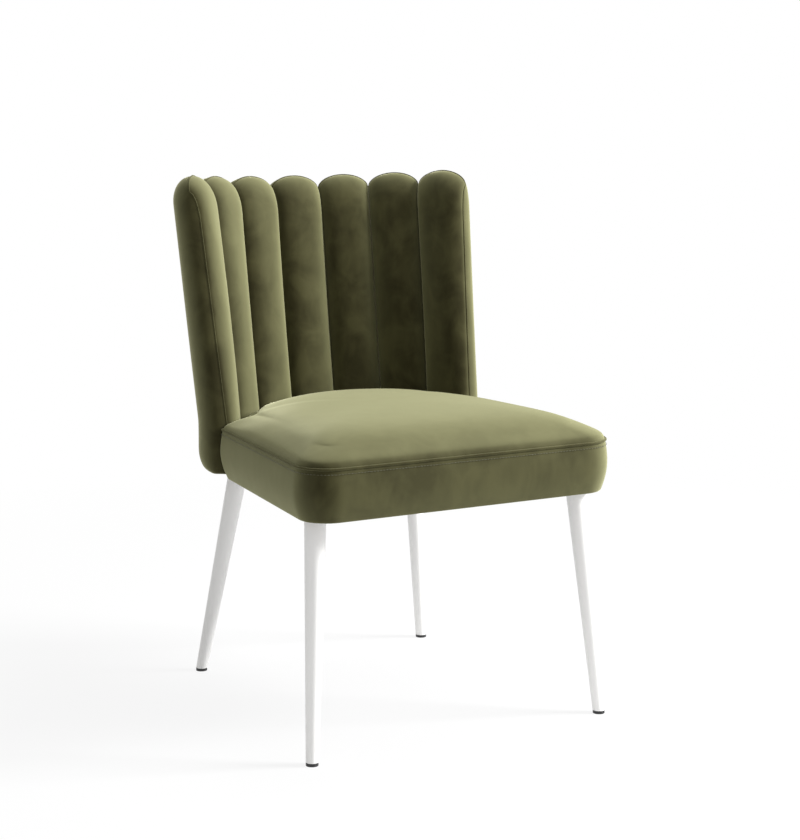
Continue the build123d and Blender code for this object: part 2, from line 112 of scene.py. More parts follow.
class ChairSizes(bpy.types.PropertyGroup):
    """Sizes of the chair's soft pieces and seams."""

    channel_depth: FloatProperty(
        name="Channel depth", description="Padding at the middle of a channel",
        default=0.031, unit="LENGTH")
    channel_edge: FloatProperty(
        name="Channel edge", description="Padding at the seam between two channels",
        default=0.008, unit="LENGTH")
    channel_fullness: FloatProperty(
        name="Channel fullness", description="Roundness of a channel, 2 is an ellipse",
        default=2.4)
    lobe_drop: FloatProperty(
        name="Lobe drop", description="Depth of the scallops along the top",
        default=0.025, unit="LENGTH")
    lobe_dome: FloatProperty(
        name="Lobe dome", description="Height over which the back rounds off at the top",
        default=0.046, unit="LENGTH")
    crest_seam: FloatProperty(
        name="Crest seam", description="Place of the top seam behind the shell's inner face",
        default=0.004, unit="LENGTH")
    seat_crown: FloatProperty(
        name="Seat crown", description="Rise of the seat top above its seam",
        default=SEAT_TOP_BOX[1].z - SEAT_SEAM + 0.003, unit="LENGTH")
    boxing_bulge: FloatProperty(
        name="Boxing bulge", description="How far the band swells past the seam line",
        default=0.008, unit="LENGTH")
    welt_diameter: FloatProperty(
        name="Welt diameter", description="Thickness of the ridge round the seat",
        default=0.0040, unit="LENGTH")
    back_seam_diameter: FloatProperty(
        name="Back seam diameter", description="Thickness of the ridge round the back",
        default=0.0020, unit="LENGTH")
    stitch_drop: FloatProperty(
        name="Stitch drop", description="Distance of the stitch line below the seat seam",
        default=0.0075, unit="LENGTH")
    stitch_length: FloatProperty(
        name="Stitch length", description="Length of one stitch", default=0.0040, unit="LENGTH")
    stitch_spacing: FloatProperty(
        name="Stitch spacing", description="Distance from stitch to stitch",
        default=0.0052, unit="LENGTH")
    stitch_diameter: FloatProperty(
        name="Stitch diameter", description="Thickness of the thread",
        default=0.0009, unit="LENGTH")
    staple_width: FloatProperty(
        name="Staple width", description="Length of a staple's bar", default=0.010, unit="LENGTH")
    staple_spacing: FloatProperty(
        name="Staple spacing", description="Distance from staple to staple",
        default=0.045, unit="LENGTH")


class ChairColours(bpy.types.PropertyGroup):
    """Colours of the chair's finishes and of the studio."""

    velvet: FloatVectorProperty(
        name="Velvet", description="Pile seen along its lie", subtype="COLOR", size=3,
        default=(0.058, 0.054, 0.0205), min=0, max=1)
    velvet_dark: FloatVectorProperty(
        name="Velvet, dark", description="Pile seen against its lie", subtype="COLOR", size=3,
        default=(0.025, 0.022, 0.008), min=0, max=1)
    # Painted sheen: the pale colour that the velvet's base colour turns to where the surface is seen
    # edge-on.
    velvet_painted_sheen: FloatVectorProperty(
        name="Velvet, tips", description="Pile seen from the side", subtype="COLOR", size=3,
        default=(0.245, 0.243, 0.122), min=0, max=1)
    velvet_sheen: FloatVectorProperty(
        name="Velvet sheen", description="Tint of the light caught by the pile's tips",
        subtype="COLOR", size=3, default=(0.86, 0.85, 0.58), min=0, max=1)
    thread: FloatVectorProperty(
        name="Thread", description="Sewing thread", subtype="COLOR", size=3,
        default=(0.075, 0.071, 0.030), min=0, max=1)
    legs: FloatVectorProperty(
        name="Legs", description="Powder coat of the legs", subtype="COLOR", size=3,
        default=(0.93, 0.925, 0.91), min=0, max=1)
    glides: FloatVectorProperty(
        name="Glides", description="Moulded plastic under the legs", subtype="COLOR", size=3,
        default=(0.018, 0.018, 0.019), min=0, max=1)
    plywood: FloatVectorProperty(
        name="Plywood", description="Board and shell", subtype="COLOR", size=3,
        default=(0.56, 0.40, 0.235), min=0, max=1)
    beech: FloatVectorProperty(
        name="Beech", description="Back rail", subtype="COLOR", size=3,
        default=(0.50, 0.315, 0.175), min=0, max=1)
    dust_cloth: FloatVectorProperty(
        name="Dust cloth", description="Cloth under the seat", subtype="COLOR", size=3,
        default=(0.022, 0.022, 0.024), min=0, max=1)
    steel: FloatVectorProperty(
        name="Steel", description="Zinc-plated screws and plates", subtype="COLOR", size=3,
        default=(0.60, 0.61, 0.62), min=0, max=1)
    floor: FloatVectorProperty(
        name="Floor", description="Studio floor", subtype="COLOR", size=3,
        default=(0.78, 0.78, 0.78), min=0, max=1)


def sizes():
    return bpy.context.scene.chair_sizes


def colours():
    return bpy.context.scene.chair_colours


# Shader sheets


class Value:
    """A node's output that can stand in an expression."""

    def __init__(self, sheet, socket):
        self.sheet = sheet
        self.socket = socket

    def combine(self, operation, first, second):
        return self.sheet.add("ShaderNodeMath", {"operation": operation}, {0: first, 1: second})

    def __add__(self, other):
        return self.combine("ADD", self, other)

    def __radd__(self, other):
        return self.combine("ADD", other, self)

    def __sub__(self, other):
        return self.combine("SUBTRACT", self, other)

    def __rsub__(self, other):
        return self.combine("SUBTRACT", other, self)

    def __mul__(self, other):
        return self.combine("MULTIPLY", self, other)

    def __rmul__(self, other):
        return self.combine("MULTIPLY", other, self)

    def __pow__(self, other):
        return self.combine("POWER", self, other)


class Sheet:
    """The node sheet of one finish."""

    def __init__(self, name, owner=None):
        self.material = owner or bpy.data.materials.new(name)
        self.material.use_nodes = True
        self.tree = self.material.node_tree
        self.tree.nodes.clear()
        self.place = None

    def add(self, kind, settings=None, sockets=None, output=0):
        """Adds a node with its settings, then its sockets' values or links."""
        node = self.tree.nodes.new(kind)
        for name, setting in (settings or {}).items():
            if name == "stops":
                while len(node.color_ramp.elements) < len(setting):
                    node.color_ramp.elements.new(1.0)
                for element, (position, shade) in zip(node.color_ramp.elements, setting):
                    element.position = position
                    element.color = (shade, shade, shade, 1.0)
            else:
                setattr(node, name, setting)
        for key, value in (sockets or {}).items():
            if isinstance(value, Value):
                self.tree.links.new(value.socket, node.inputs[key])
            else:
                node.inputs[key].default_value = value
        return Value(self, node.outputs[output]) if node.outputs else None

    def coordinates(self, stretch=(1.0, 1.0, 1.0), turn=(0.0, 0.0, 0.0)):
        if self.place is None:
            self.place = self.add("ShaderNodeTexCoord", output=3)
        return self.add("ShaderNodeMapping", sockets={
            "Vector": self.place, "Rotation": turn, "Scale": stretch})

    def noise(self, scale, detail=2.0, roughness=0.5, distortion=0.0, stretch=(1.0, 1.0, 1.0)):
        return self.add("ShaderNodeTexNoise", sockets={
            "Vector": self.coordinates(stretch), "Scale": scale, "Detail": detail,
            "Roughness": roughness, "Distortion": distortion})

    def steps(self, value, stops):
        return self.add("ShaderNodeValToRGB", {"stops": stops}, {0: value})

    def mix(self, factor, first, second):
        def colour(value):
            return value if isinstance(value, Value) else (*value, 1.0)

        return self.add(
            "ShaderNodeMix", {"data_type": "RGBA"},
            {0: factor, 6: colour(first), 7: colour(second)}, output=2)

    def bump(self, height, strength, distance):
        return self.add("ShaderNodeBump", sockets={
            "Height": height, "Strength": strength, "Distance": distance})

    def surface(self, **sockets):
        """Ends the sheet in one shader and returns the material."""
        named = {key.replace("_", " ").title().replace("Ior", "IOR"): value
                 for key, value in sockets.items()}
        shader = self.add("ShaderNodeBsdfPrincipled", sockets=named)
        self.add("ShaderNodeOutputMaterial", sockets={0: shader})
        return self.material


def opaque(colour):
    return (*colour, 1.0)


def velvet_finish(name="olive_velvet", tips=1.0):
    sheet = Sheet(name)
    tint = colours()
    cloud = sheet.noise(17.0, detail=3.0, roughness=0.55, distortion=0.6)
    streak = sheet.noise(46.0, detail=2.0, roughness=0.6, stretch=(1.0, 1.0, 0.35))
    pile = sheet.noise(900.0, detail=2.0, roughness=0.6)
    lie = sheet.steps(cloud * 0.72 + streak * 0.28, [(0.38, 0.0), (0.62, 1.0)])
    base = sheet.mix(lie, tint.velvet_dark, tint.velvet)
    grain = sheet.mix(pile * 0.35, base, tint.velvet)
    # Painted sheen: the base colour is mixed towards the pale tips colour where the surface is seen
    # edge-on, by the Layer Weight's facing output; tips scales this painted sheen and the shader's
    # sheen weight together.
    edge = sheet.add("ShaderNodeLayerWeight", sockets={"Blend": 0.5}, output=1)
    worn = sheet.mix(edge ** 1.15 * tips, grain, tint.velvet_painted_sheen)
    rough = 0.92 - lie * 0.14
    height = pile * 0.5 + streak * 0.5
    return sheet.surface(
        base_color=worn, roughness=rough, normal=sheet.bump(height, 0.10, 0.0012),
        specular_ior_level=0.12, sheen_weight=0.6 * tips, sheen_roughness=0.30,
        sheen_tint=opaque(tint.velvet_sheen))


# Velvet for the seam ridges, with its painted sheen and its shader sheen both cut to 0.4.
def seam_velvet_finish():
    return velvet_finish("olive_velvet_seam", 0.4)


def thread_finish():
    sheet = Sheet("olive_thread")
    twist = sheet.noise(1400.0, detail=1.0, stretch=(1.0, 1.0, 0.5))
    dark = Vector(colours().thread) * 0.55
    return sheet.surface(
        base_color=sheet.mix(twist, dark, colours().thread), roughness=0.55 + twist * 0.2,
        normal=sheet.bump(twist, 0.3, 0.0003), sheen_weight=0.4, sheen_roughness=0.4)


def powder_coat_finish():
    sheet = Sheet("white_powder_coat")
    orange_peel = sheet.noise(620.0, detail=2.0, roughness=0.5)
    tone = sheet.noise(9.0, detail=2.0)
    cream = Vector(colours().legs) * 0.96
    return sheet.surface(
        base_color=sheet.mix(tone, cream, colours().legs), roughness=0.36 + orange_peel * 0.12,
        normal=sheet.bump(orange_peel, 0.12, 0.0004), specular_ior_level=0.45,
        coat_weight=0.08, coat_roughness=0.35)


def moulded_plastic_finish():
    sheet = Sheet("black_moulded_plastic")
    grain = sheet.noise(780.0, detail=3.0, roughness=0.6)
    scuff = sheet.noise(70.0, detail=4.0, roughness=0.7, stretch=(1.0, 1.0, 3.0))
    worn = Vector(colours().glides) * 2.6
    return sheet.surface(
        base_color=sheet.mix(sheet.steps(scuff, [(0.55, 0.0), (0.75, 1.0)]),
                             colours().glides, worn),
        roughness=0.42 + grain * 0.2, normal=sheet.bump(grain, 0.25, 0.0004))


def plywood_finish():
    sheet = Sheet("birch_plywood")
    plies = sheet.add("ShaderNodeTexWave", {"bands_direction": "Z"}, {
        "Vector": sheet.coordinates(), "Scale": 110.0, "Distortion": 0.6, "Detail": 2.0,
        "Detail Scale": 1.5}, output=1)
    grain = sheet.noise(38.0, detail=6.0, roughness=0.6, stretch=(1.0, 0.09, 1.0))
    ring = sheet.noise(9.0, detail=3.0, distortion=1.4, stretch=(1.0, 0.2, 1.0))
    dark = Vector(colours().plywood) * 0.66
    wood = sheet.mix(sheet.steps(grain * 0.6 + ring * 0.4, [(0.35, 0.0), (0.65, 1.0)]),
                     dark, colours().plywood)
    return sheet.surface(
        base_color=sheet.mix(plies * 0.22, wood, dark), roughness=0.58 + grain * 0.2,
        normal=sheet.bump(grain, 0.18, 0.0006))


def beech_finish():
    sheet = Sheet("beech")
    grain = sheet.noise(60.0, detail=5.0, roughness=0.6, stretch=(0.12, 0.12, 1.0))
    fleck = sheet.add("ShaderNodeTexVoronoi", sockets={
        "Vector": sheet.coordinates((1.0, 1.0, 0.18)), "Scale": 420.0})
    dark = Vector(colours().beech) * 0.6
    wood = sheet.mix(sheet.steps(grain, [(0.35, 0.0), (0.7, 1.0)]), dark, colours().beech)
    return sheet.surface(
        base_color=sheet.mix(sheet.steps(fleck, [(0.0, 0.35), (0.22, 0.0)]), wood, dark),
        roughness=0.52 + grain * 0.2, normal=sheet.bump(grain, 0.2, 0.0006))


def dust_cloth_finish():
    sheet = Sheet("black_dust_cloth")
    fibres = sheet.noise(520.0, detail=4.0, roughness=0.7, distortion=0.8)
    bond = sheet.add("ShaderNodeTexVoronoi", {"feature": "F1"}, {
        "Vector": sheet.coordinates(), "Scale": 460.0, "Randomness": 0.15})
    dots = sheet.steps(bond, [(0.18, 1.0), (0.34, 0.0)])
    pale = Vector(colours().dust_cloth) * 2.4
    return sheet.surface(
        base_color=sheet.mix(fibres * 0.8, colours().dust_cloth, pale),
        roughness=0.9 - dots * 0.25, normal=sheet.bump(fibres - dots * 0.8, 0.5, 0.0004),
        sheen_weight=0.15)


def zinc_finish(name="zinc_plated_steel"):
    sheet = Sheet(name)
    spangle = sheet.add("ShaderNodeTexVoronoi", sockets={
        "Vector": sheet.coordinates(), "Scale": 180.0}, output=1)
    haze = sheet.noise(120.0, detail=4.0, roughness=0.65)
    dull = Vector(colours().steel) * 0.72
    tone = sheet.mix(haze, dull, colours().steel)
    flakes = sheet.add("ShaderNodeRGBToBW", sockets={0: spangle})
    return sheet.surface(
        base_color=sheet.mix(flakes * 0.25, tone, colours().steel), metallic=1.0,
        roughness=0.3 + haze * 0.2, normal=sheet.bump(haze, 0.1, 0.0003))


def foam_finish():
    sheet = Sheet("cream_foam")
    cells = sheet.add("ShaderNodeTexVoronoi", sockets={
        "Vector": sheet.coordinates(), "Scale": 700.0})
    tone = sheet.noise(30.0, detail=3.0)
    return sheet.surface(
        base_color=sheet.mix(tone, (0.62, 0.56, 0.38), (0.72, 0.67, 0.50)),
        roughness=0.9 - cells * 0.1, normal=sheet.bump(cells, 0.5, 0.0005))


FINISHES = {}


def finish_of(maker):
    """The material that a maker function gives, made once."""
    if maker.__name__ not in FINISHES:
        FINISHES[maker.__name__] = maker()
    return FINISHES[maker.__name__]


def paint_nodes(names, maker):
    """Gives CAD nodes a finish in the slots they have."""
    for name in names:
        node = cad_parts[name]
        for slot in node.material_slots:
            slot.material = finish_of(maker)


# Forms


def along(length):
    """A length along the back, counted in channels."""
    return length / CHANNEL_PITCH


def round_off(share, fullness):
    """Height of a rounded form at a share of its half width."""
    return max(0.0, 1 - abs(share) ** fullness) ** (1 / fullness)


def back_point(height, place, outward):
    """Point on the back. Place 0 is the middle channel; outward counts from the shell's face."""
    rise = max(0.0, (height - SEAM_HEIGHT) / (BACK_HEIGHT - SEAM_HEIGHT))
    low = LOW_ANGLE * place / HALF
    top = TOP_ANGLE * place / HALF
    low_radius = LOW_RADIUS + outward
    top_radius = TOP_RADIUS + outward
    x = low_radius * math.sin(low) * (1 - rise) + top_radius * math.sin(top) * rise
    low_y = LOW_CENTRE + low_radius * math.cos(low)
    top_y = TOP_CENTRE + top_radius * math.cos(top)
    return Vector((x, low_y * (1 - rise) + top_y * rise + SHIFT, height))


def back_across(height, place):
    """Unit vector along the back towards greater places."""
    outward = back_point(height, place, 0.01) - back_point(height, place, 0.0)
    return Vector((outward.y, -outward.x, 0.0)).normalized()


def lobe_top(place):
    """Height of the scalloped top line."""
    number = max(-END_CHANNEL, min(END_CHANNEL, round(place)))
    share = max(-1.0, min(1.0, (place - number) * 2))
    reach = min(abs(place), END_CHANNEL) / END_CHANNEL
    drop = sizes().lobe_drop * (1 - round_off(share, 2.0))
    return BACK_HEIGHT + WING_RISE * reach ** 2 - drop


def new_piece(name, mesh, material):
    """An object at the origin that holds the mesh and wears the material."""
    piece = bpy.data.objects.new(name, mesh)
    bpy.context.scene.collection.objects.link(piece)
    mesh.materials.clear()
    mesh.materials.append(material)
    mesh.polygons.foreach_set("use_smooth", [True] * len(mesh.polygons))
    mesh.polygons.foreach_set("material_index", [0] * len(mesh.polygons))
    return piece


def rows_to_form(form, rows):
    """Joins closed rows of points, lowest first, with four-sided faces."""
    made = [[form.verts.new(point) for point in row] for row in rows]
    count = len(rows[0])
    for below, above in zip(made, made[1:]):
        for i in range(count):
            j = (i + 1) % count
            form.faces.new((below[i], below[j], above[j], above[i]))
    return made


def form_to_mesh(form, name):
    bmesh.ops.remove_doubles(form, verts=form.verts, dist=2e-5)
    bmesh.ops.dissolve_degenerate(form, dist=1e-6, edges=form.edges)
    bmesh.ops.recalc_face_normals(form, faces=form.faces)
    mesh = bpy.data.meshes.new(name)
    form.to_mesh(mesh)
    form.free()
    return mesh


def even_out(mesh, amounts, held, rounds):
    """Evens the amounts of neighbouring points, so that the filled cover has no creases."""
    near = [[] for _ in mesh.vertices]
    for edge in mesh.edges:
        first, second = edge.vertices
        length = (mesh.vertices[first].co - mesh.vertices[second].co).length
        near[first].append((second, 1 / length))
        near[second].append((first, 1 / length))
    free = [i for i in range(len(amounts)) if i not in held]
    whole = [sum(weight for _, weight in row) for row in near]
    for _ in range(rounds):
        fresh = list(amounts)
        for i in free:
            total = sum(amounts[j] * weight for j, weight in near[i])
            fresh[i] = amounts[i] * 0.5 + total * 0.5 / whole[i]
        amounts = fresh
    return amounts


def swell(piece, sewn, pressure, limit, rounds):
    """Fills a closed cover with pressure, and holds each point within limit of its start."""
    group = piece.vertex_groups.new(name="sewn")
    group.add(sewn, 1.0, "REPLACE")
    cloth = piece.modifiers.new("Swell", "CLOTH")
    settings = cloth.settings
    settings.quality = 5
    settings.mass = 0.3
    settings.tension_stiffness = 15
    settings.compression_stiffness = 15
    settings.shear_stiffness = 8
    settings.bending_stiffness = 1.2
    settings.use_pressure = True
    settings.uniform_pressure_force = pressure
    settings.vertex_group_mass = group.name
    settings.effector_weights.gravity = 0
    cloth.collision_settings.use_collision = False
    scene = bpy.context.scene
    for number in range(1, 21):
        scene.frame_set(number)
    filled = piece.evaluated_get(bpy.context.evaluated_depsgraph_get()).data
    moved = [vertex.co.copy() for vertex in filled.vertices]
    piece.modifiers.remove(cloth)
    piece.vertex_groups.remove(group)
    starts = [(vertex.co.copy(), vertex.normal.copy()) for vertex in piece.data.vertices]
    amounts = [max(-limit, min(limit, (place - start).dot(normal)))
               for place, (start, normal) in zip(moved, starts)]
    amounts = even_out(piece.data, amounts, set(sewn), rounds)
    for vertex, (start, normal), amount in zip(piece.data.vertices, starts, amounts):
        vertex.co = start + normal * amount
    scene.frame_set(1)


def soften(piece):
    """One live subdivision on a finished soft piece."""
    subdivision = piece.modifiers.new("Soften", "SUBSURF")
    subdivision.levels = 1
    subdivision.render_levels = 1


def hand_over(piece, replaced=()):
    """Tells the frame what the piece rides on and stands for."""
    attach(piece, "root")
    if replaced:
        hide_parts(*replaced)


def nearest_vertices(mesh, points, reach=2e-4):
    """Indices of the mesh's vertices that lie at any of the points."""
    seen = {}
    for vertex in mesh.vertices:
        key = tuple(round(c / reach) for c in vertex.co)
        seen.setdefault(key, []).append(vertex.index)
    found = set()
    for point in points:
        key = tuple(round(c / reach) for c in point)
        found.update(seen.get(key, ()))
    return sorted(found)


# Back channels

CHANNEL_COLUMNS = 26
CHANNEL_BACK_COLUMNS = 8
CHANNEL_ROWS = 52
DOME_ROWS = 12
CHANNEL_GAP = 0.0001
CHANNEL_SLACK = 0.0045
PAD_BACK = -0.0004


def channel_rows(number, slack):
    """Closed rows of one channel from its foot to its top seam, and its sewn points."""
    size = sizes()
    width = 1 - along(CHANNEL_GAP)
    power = 2 / size.channel_fullness

    face = []
    for step in range(CHANNEL_COLUMNS + 1):
        angle = math.pi * (step / CHANNEL_COLUMNS - 0.5)
        share = math.copysign(abs(math.sin(angle)) ** power, math.sin(angle))
        swell_share = max(0.0, math.cos(angle)) ** power
        depth = size.channel_edge + (size.channel_depth - slack - size.channel_edge) * swell_share
        face.append((share, -depth, True))
    back = []
    for step in range(CHANNEL_BACK_COLUMNS + 1):
        back.append((1 - 2 * step / CHANNEL_BACK_COLUMNS, PAD_BACK, False))
    columns = face + back

    rows = []
    sewn = []
    for row in range(CHANNEL_ROWS + DOME_ROWS + 1):
        climb = min(1.0, row / CHANNEL_ROWS)
        turn = max(0.0, (row - CHANNEL_ROWS) / DOME_ROWS) * math.pi / 2
        points = []
        for share, outward, front in columns:
            place = number + share * width / 2
            top = lobe_top(place)
            spring = top - size.lobe_dome
            height = CHANNEL_FOOT + (spring - CHANNEL_FOOT) * climb
            height += size.lobe_dome * math.sin(turn)
            lean = math.cos(turn) if front else 1 - math.sin(turn) ** 3
            offset = size.crest_seam + (outward - size.crest_seam) * lean
            points.append(back_point(height, place, offset))
        rows.append(points)
        held = points if row in (0, CHANNEL_ROWS + DOME_ROWS) else (
            points[CHANNEL_COLUMNS:] + points[:1])
        sewn.extend(held)
    return rows, sewn


def keep_between(piece, number):
    """Presses a channel back between the seams on its two sides."""
    room = (1 - along(CHANNEL_GAP)) / 2
    for vertex in piece.data.vertices:
        for side in (-1, 1):
            place = number + side * room
            across = back_across(vertex.co.z, place) * side
            over = (vertex.co - back_point(vertex.co.z, place, 0.0)).dot(across)
            if over > 0:
                vertex.co -= across * over


def undulate(piece, size, height, weight=None):
    """Small soft unevenness along the faces' own directions."""
    for vertex in piece.data.vertices:
        amount = noise.noise(vertex.co / size) * height
        if weight:
            amount *= weight(vertex.co)
        vertex.co += vertex.normal * amount


class CHAIR_OT_back_channels(bpy.types.Operator):
    """Sews and fills the seven upright channels of the back"""

    bl_idname = "chair.back_channels"
    bl_label = "Back channels"

    def execute(self, context):
        velvet = finish_of(velvet_finish)
        for number in range(CHANNELS):
            channel = number - END_CHANNEL
            slack = CHANNEL_SLACK
            rows, sewn = channel_rows(channel, slack)
            form = bmesh.new()
            made = rows_to_form(form, rows)
            form.faces.new(list(reversed(made[0])))
            name = f"back_channel_{number + 1}"
            piece = new_piece(name, form_to_mesh(form, name), velvet)
            held = nearest_vertices(piece.data, sewn)
            swell(piece, held, 4.0, CHANNEL_SLACK, 6)
            keep_between(piece, channel)
            soften(piece)
            hand_over(piece, (
                f"channel_cover_{number + 1}", f"channel_foam_{number + 1}"))
        return {"FINISHED"}


# Outer back

OUTER_ROWS = 54
LOBE_COLUMNS = 14
TURN_COLUMNS = 10
LIP_COLUMNS = 8
OUTER_SLACK = 0.003


def hem_draw(height):
    """How far the outer back is drawn in near its lower edge."""
    below = max(0.0, BACK_HEM + HEM_ROUND - height) / HEM_ROUND
    return HEM_DRAW * (1 - math.sqrt(max(0.0, 1 - min(1.0, below) ** 2)))


def outer_columns():
    """Columns of the right half of the outer back, from the middle to the lip at the wing."""
    turn = HALF - along(WING_TURN)
    tip = HALF + along(WING_FORWARD)
    end = HALF + along(CHANNEL_GAP)
    columns = []
    edges = [0.0, 0.5, 1.5, 2.5, turn]
    for start, stop in zip(edges, edges[1:]):
        count = max(6, round(LOBE_COLUMNS * (stop - start)))
        for step in range(count):
            columns.append((start + (stop - start) * step / count, "face", 0.0))
    for step in range(TURN_COLUMNS):
        angle = math.pi / 2 * step / TURN_COLUMNS
        columns.append((turn + (tip - turn) * math.sin(angle), "turn", math.cos(angle)))
    for step in range(LIP_COLUMNS + 1):
        angle = math.pi / 2 * step / LIP_COLUMNS
        columns.append((end + (tip - end) * math.cos(angle), "lip", math.sin(angle)))
    return columns


def outer_offset(kind, share, height, slack):
    face = OUTER_DEPTH - slack - hem_draw(height)
    if kind == "face":
        return face
    if kind == "turn":
        return WING_MIDDLE + (face - WING_MIDDLE) * share
    return WING_MIDDLE - (WING_MIDDLE + WING_RETURN) * share


def inner_place(place, kind, share):
    """Place and offset of the hidden inner wall behind an outer column."""
    inside = HALF - along(SHELL_SETBACK)
    if kind == "face":
        return place, SHELL_OUTSIDE
    if kind == "turn":
        return min(place, inside), SHELL_OUTSIDE
    way = share
    return inside + (HALF - along(0.0004) - inside) * way, 0.0004 - 0.0072 * max(0.0, way * 2 - 1)


def outer_rows(slack):
    """Closed rows of the outer back from its hem to the top seam, and its sewn points."""
    size = sizes()
    half = outer_columns()
    outline = [(-place, kind, share) for place, kind, share in reversed(half[1:])] + half
    rows = []
    sewn = []
    for row in range(OUTER_ROWS + DOME_ROWS + 1):
        climb = min(1.0, row / OUTER_ROWS)
        turn = max(0.0, (row - OUTER_ROWS) / DOME_ROWS) * math.pi / 2
        lean = math.cos(turn)
        outside = []
        inside = []
        for place, kind, share in outline:
            side = -1.0 if place < 0 else 1.0
            seam_place = side * min(abs(place), HALF)
            top = lobe_top(seam_place)
            spring = top - size.lobe_dome
            height = BACK_HEM + (spring - BACK_HEM) * climb ** 1.15
            height += size.lobe_dome * math.sin(turn)
            offset = outer_offset(kind, share, height, slack)
            offset = size.crest_seam + (offset - size.crest_seam) * lean
            outside.append(back_point(height, seam_place + (place - seam_place) * lean, offset))
            hidden, depth = inner_place(abs(place), kind, share)
            depth = size.crest_seam + (depth - size.crest_seam) * (1 - math.sin(turn) ** 3)
            if height > SHELL_TOP and kind != "lip":
                depth = min(depth, SHELL_OUTSIDE)
            hidden = side * (hidden + (abs(seam_place) - hidden) * math.sin(turn) ** 3)
            inside.append(back_point(height, hidden, depth))
        rows.append(outside + list(reversed(inside)))
        sewn.extend(inside)
        ends = LIP_COLUMNS // 2
        sewn.extend(outside[:ends] + outside[-ends:])
        if row in (0, 1, OUTER_ROWS + DOME_ROWS):
            sewn.extend(outside)
    return rows, sewn


class CHAIR_OT_outer_back(bpy.types.Operator):
    """Covers the outside of the back with its wing fronts and scalloped top"""

    bl_idname = "chair.outer_back"
    bl_label = "Outer back"

    def execute(self, context):
        slack = OUTER_SLACK
        rows, sewn = outer_rows(slack)
        form = bmesh.new()
        made = rows_to_form(form, rows)
        count = len(made[0])
        for i in range(count // 2 - 1):
            form.faces.new((made[0][i], made[0][count - 1 - i],
                            made[0][count - 2 - i], made[0][i + 1]))
        piece = new_piece("outer_back", form_to_mesh(form, "outer_back"),
                          finish_of(velvet_finish))
        swell(piece, nearest_vertices(piece.data, sewn), 4.0, OUTER_SLACK, 10)
        soften(piece)
        hand_over(piece, ("outer_back_cover", "outer_back_foam"))
        return {"FINISHED"}


# Seat cushion

SIDE_POINTS = 40
FRONT_POINTS = 56
CORNER_POINTS = 14
TUCK_POINTS = 5
TUCK_LINE_POINTS = 5
REAR_POINTS = 64
BOXING_ROWS = 14
CROWN_STEPS = (0.993, 0.982, 0.969, 0.954, 0.937, 0.918, 0.898, 0.876, 0.853)
CROWN_FULLNESS = 2.6
SEAT_SLACK = 0.005
CORNER_REACH = 0.14
CORNER_ROUNDS = 120


def rounded_corner(before, corner, after, radius, count):
    """Points along an arc of the given radius at a corner, both ends among them."""
    inward = (before - corner).normalized()
    onward = (after - corner).normalized()
    half_angle = inward.angle(onward) / 2
    reach = radius / math.tan(half_angle)
    middle = corner + (inward + onward).normalized() * (radius / math.sin(half_angle))
    start = corner + inward * reach - middle
    end = corner + onward * reach - middle
    span = start.angle(end)
    points = []
    for step in range(count + 1):
        share = step / count
        first = math.sin((1 - share) * span) / math.sin(span)
        second = math.sin(share * span) / math.sin(span)
        points.append(middle + start * first + end * second)
    return points


def between(start, end, count):
    """Points strictly between two points."""
    return [start.lerp(end, step / count) for step in range(1, count)]


def seat_plan(grow, inset=0.0):
    """Closed plan of the seat as points, from the right-hand rear corner round the front."""
    wing = back_point(SEAM_HEIGHT, HALF, -WING_RETURN)
    radius = SEAT_REAR_RADIUS - inset
    rear = wing.y - SHIFT - SEAT_TUCK_GAP - inset
    inner_x = math.sqrt(radius ** 2 - (rear - LOW_CENTRE) ** 2)
    inner = Vector((inner_x, rear, 0))
    reach = SEAT_TUCK_OUT + grow
    corner = Vector((wing.x + reach - inset, rear + SEAT_TUCK_SLOPE * reach, 0))
    front = Vector((SEAT_HALF_FRONT + grow - inset, SEAT_FRONT - grow + inset, 0))

    def other(point):
        return Vector((-point.x, point.y, 0))

    tuck = rounded_corner(inner, corner, front, SEAT_TUCK - inset, TUCK_POINTS)
    bend = rounded_corner(corner, front, other(front), SEAT_CORNER + grow - inset, CORNER_POINTS)
    right = [inner] + between(inner, tuck[0], TUCK_LINE_POINTS) + tuck
    right += between(tuck[-1], bend[0], SIDE_POINTS) + bend
    left = [other(point) for point in reversed(right)]
    points = right + between(right[-1], left[0], FRONT_POINTS) + left
    span = math.atan2(inner_x, rear - LOW_CENTRE)
    for step in range(1, REAR_POINTS):
        angle = -span + 2 * span * step / REAR_POINTS
        points.append(Vector((radius * math.sin(angle), LOW_CENTRE + radius * math.cos(angle), 0)))
    return points


def placed(point, height, shrink=1.0):
    """A plan point in the row's frame, drawn towards the seat's middle."""
    y = SEAT_MIDDLE + (point.y - SEAT_MIDDLE) * shrink
    return Vector((point.x * shrink, y + SHIFT, height))


def boxing_grow(height, bulge):
    """How far the band stands out of the seam line at a height."""
    share = min(1.0, max(0.0, (height - HEM_HEIGHT) / (SEAT_SEAM - HEM_HEIGHT)))
    return bulge * math.sin(math.pi * share) - HEM_TUCK * (1 - share) ** 3


RIGHT_SIDE_START = TUCK_LINE_POINTS + TUCK_POINTS
SEAT_FRONT_COUNT = 2 * (SIDE_POINTS + CORNER_POINTS) + FRONT_POINTS
LEFT_SIDE_END = RIGHT_SIDE_START + SEAT_FRONT_COUNT


def hem_lift(index):
    """1 where the band hangs past the board, 0 where the seat stands on it."""
    inside = min(index - RIGHT_SIDE_START, LEFT_SIDE_END - index)
    return min(1.0, max(0.0, (inside + TUCK_POINTS) / TUCK_POINTS))


